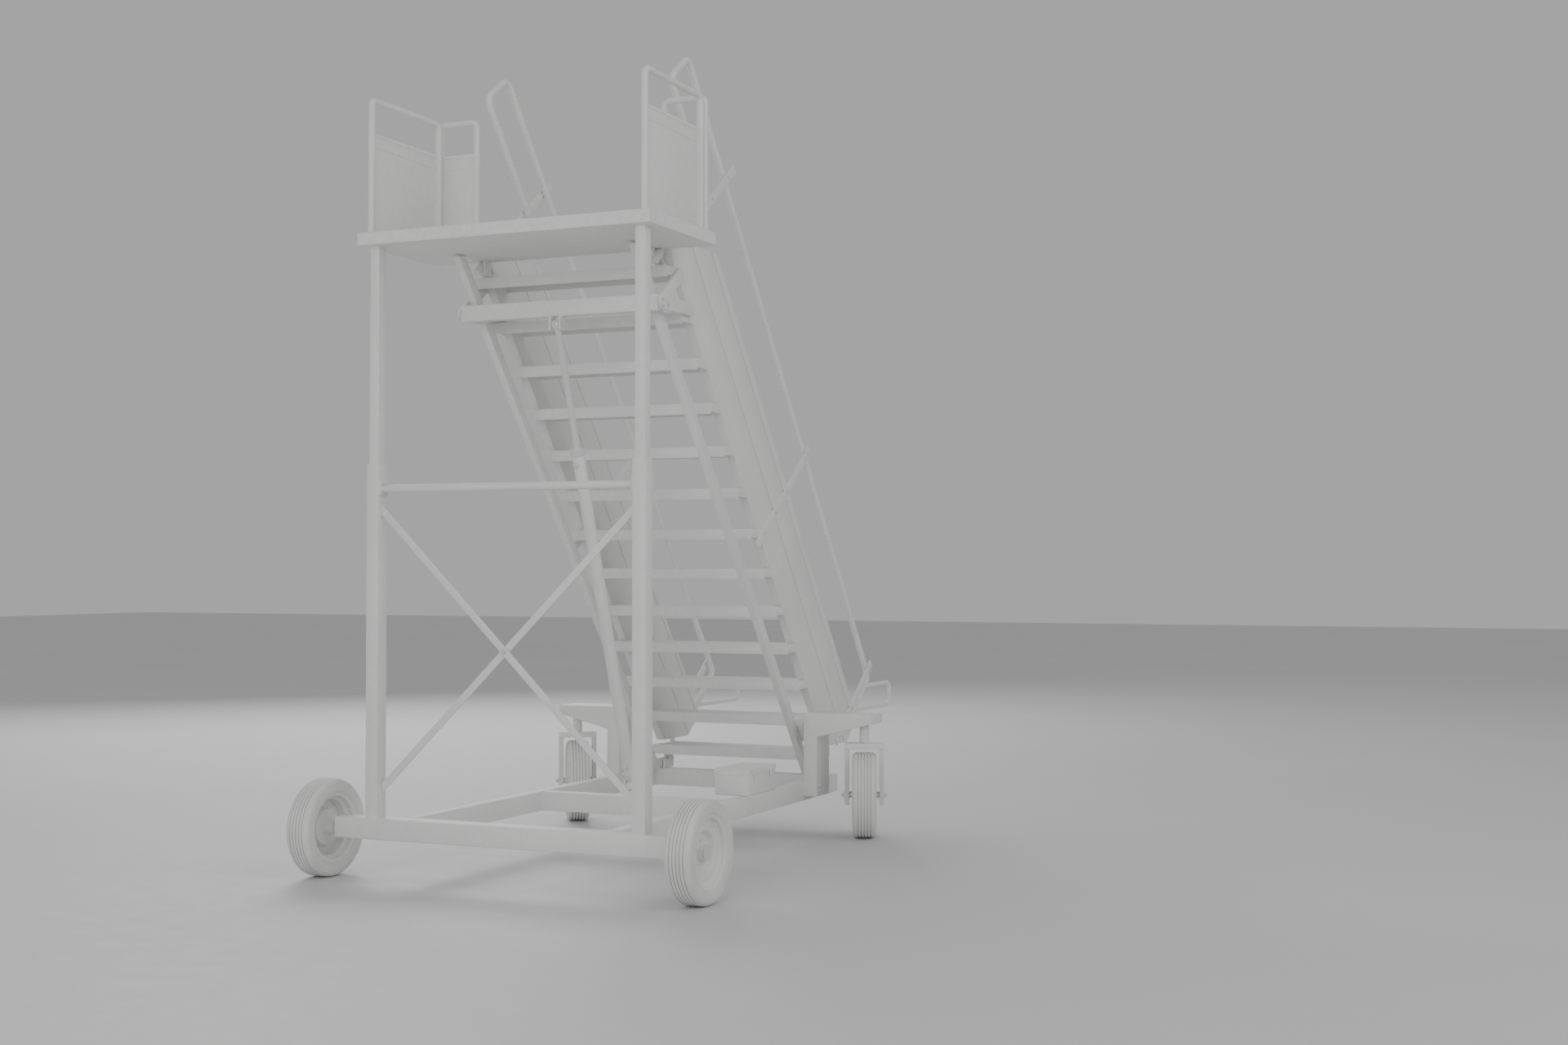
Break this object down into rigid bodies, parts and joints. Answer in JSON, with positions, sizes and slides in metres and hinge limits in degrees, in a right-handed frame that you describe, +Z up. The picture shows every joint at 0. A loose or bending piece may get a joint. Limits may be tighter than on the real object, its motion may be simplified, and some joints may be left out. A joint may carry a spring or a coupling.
{
  "type": "mobile platform ladder",
  "caption": "Wheeled warehouse ladder: telescopic posts carry a guarded platform, a steep flight with handrails slides on a lifting sub-frame, and the rear wheels swivel.",
  "frame": {"origin": "on the floor, under the middle of the ladder's overall length and width", "axes": "+Z up, +Y from the platform end towards the foot of the flight, +X to the right seen from the platform end"},
  "size_m": [2.13, 3.8824, 3.9822],
  "materials": {
    "frame_paint": "satin paint over welded steel tube",
    "flight_paint": "satin paint over folded steel",
    "deck_paint": "satin paint over steel sheet",
    "guard_paint": "satin paint over bent tube",
    "panel_paint": "smooth paint over thin sheet",
    "rim_paint": "satin paint over pressed steel",
    "tyre_rubber": "pale non-marking rubber",
    "bright_steel": "plain turned steel",
    "rod_chrome": "polished piston rod",
    "slide_plastic": "low-friction plastic"
  },
  "bodies": {
    "chassis": {"front_axle_beam": "frame_paint", "side_beam_left": "frame_paint", "side_beam_right": "frame_paint", "cross_members": "frame_paint", "stub_axles": "bright_steel", "hub_caps": "bright_steel", "power_pack": "frame_paint", "outer_post_left": "frame_paint", "outer_post_right": "frame_paint", "slide_collars": "slide_plastic", "tie_lugs": "frame_paint", "tie_tube": "frame_paint", "lock_rings": "frame_paint", "cross_braces": "frame_paint", "swivel_bracket_left": "frame_paint", "swivel_bracket_right": "frame_paint", "pivot_lugs": "frame_paint", "pivot_pins": "bright_steel"},
    "wheel_front_left": {"tyre_front_left": "tyre_rubber", "rim_front_left": "rim_paint"},
    "wheel_front_right": {"tyre_front_right": "tyre_rubber", "rim_front_right": "rim_paint"},
    "swivel_left": {"swivel_fork_left": "frame_paint", "axle_rear_left": "bright_steel"},
    "swivel_right": {"swivel_fork_right": "frame_paint", "axle_rear_right": "bright_steel"},
    "wheel_rear_left": {"tyre_rear_left": "tyre_rubber", "rim_rear_left": "rim_paint"},
    "wheel_rear_right": {"tyre_rear_right": "tyre_rubber", "rim_rear_right": "rim_paint"},
    "platform": {"deck_frame": "deck_paint", "deck_plate": "deck_paint", "deck_soffit": "deck_paint", "inner_post_left": "frame_paint", "inner_post_right": "frame_paint", "side_guard_left": "guard_paint", "side_guard_right": "guard_paint", "return_guards": "guard_paint", "side_panels": "panel_paint", "return_panels": "panel_paint", "hinge_plates": "frame_paint", "knee_braces": "frame_paint"},
    "lifting_frame": {"sub_rail_left": "frame_paint", "sub_rail_right": "frame_paint", "guide_arms": "frame_paint", "lift_cross_beam": "frame_paint", "lift_head_lugs": "frame_paint", "lift_head_pin": "bright_steel", "foot_shoes": "frame_paint"},
    "flight": {"stringer_left": "flight_paint", "stringer_right": "flight_paint", "handrail_left": "guard_paint", "handrail_right": "guard_paint", "treads": "flight_paint", "stanchions": "flight_paint", "grab_loops": "guard_paint", "head_pins": "bright_steel"},
    "cylinder": {"lift_barrel": "frame_paint"},
    "cylinder_rod": {"lift_rod": "rod_chrome"}
  },
  "joints": [
    {"name": "platform_lift", "type": "slide", "parent": "chassis", "child": "platform", "axis": [0, 0, 1], "range_m": [0, 0.3]},
    {"name": "flight_tilt", "type": "hinge", "parent": "chassis", "child": "lifting_frame", "pos_m": [0, 0.88285, 0.345], "axis": [-1, 0, 0], "range_deg": [0, 3.32]},
    {"name": "flight_slide", "type": "slide", "parent": "lifting_frame", "child": "flight", "axis": [0, -0.6101, 0.7923], "range_m": [0, 0.2475]},
    {"name": "cylinder_tilt", "type": "hinge", "parent": "chassis", "child": "cylinder", "pos_m": [0, -0.47875, 0.345], "axis": [-1, 0, 0], "range_deg": [0, 3.8]},
    {"name": "rod_slide", "type": "slide", "parent": "cylinder", "child": "cylinder_rod", "axis": [0, -0.3168, 0.9485], "range_m": [0, 0.0714]},
    {"name": "front_left_spin", "type": "hinge", "parent": "chassis", "child": "wheel_front_left", "pos_m": [-0.996, -1.70875, 0.2325], "axis": [-1, 0, 0], "continuous": true},
    {"name": "front_right_spin", "type": "hinge", "parent": "chassis", "child": "wheel_front_right", "pos_m": [0.996, -1.70875, 0.2325], "axis": [-1, 0, 0], "continuous": true},
    {"name": "rear_left_swivel", "type": "hinge", "parent": "chassis", "child": "swivel_left", "pos_m": [-0.9, 0.52625, 0.5], "axis": [0, 0, 1], "continuous": true},
    {"name": "rear_right_swivel", "type": "hinge", "parent": "chassis", "child": "swivel_right", "pos_m": [0.9, 0.52625, 0.5], "axis": [0, 0, 1], "continuous": true},
    {"name": "rear_left_spin", "type": "hinge", "parent": "swivel_left", "child": "wheel_rear_left", "pos_m": [-0.9, 0.52625, 0.2325], "axis": [-0.8387, -0.5446, 0], "continuous": true},
    {"name": "rear_right_spin", "type": "hinge", "parent": "swivel_right", "child": "wheel_rear_right", "pos_m": [0.9, 0.52625, 0.2325], "axis": [-0.9336, -0.3584, 0], "continuous": true}
  ],
  "couplings": [
    {"joint": "flight_tilt", "follows": "platform_lift", "rad_per_m": 0.17559},
    {"joint": "flight_slide", "follows": "platform_lift", "ratio": 0.81154},
    {"joint": "cylinder_tilt", "follows": "platform_lift", "rad_per_m": 0.20391},
    {"joint": "rod_slide", "follows": "platform_lift", "ratio": 0.22803}
  ]
}
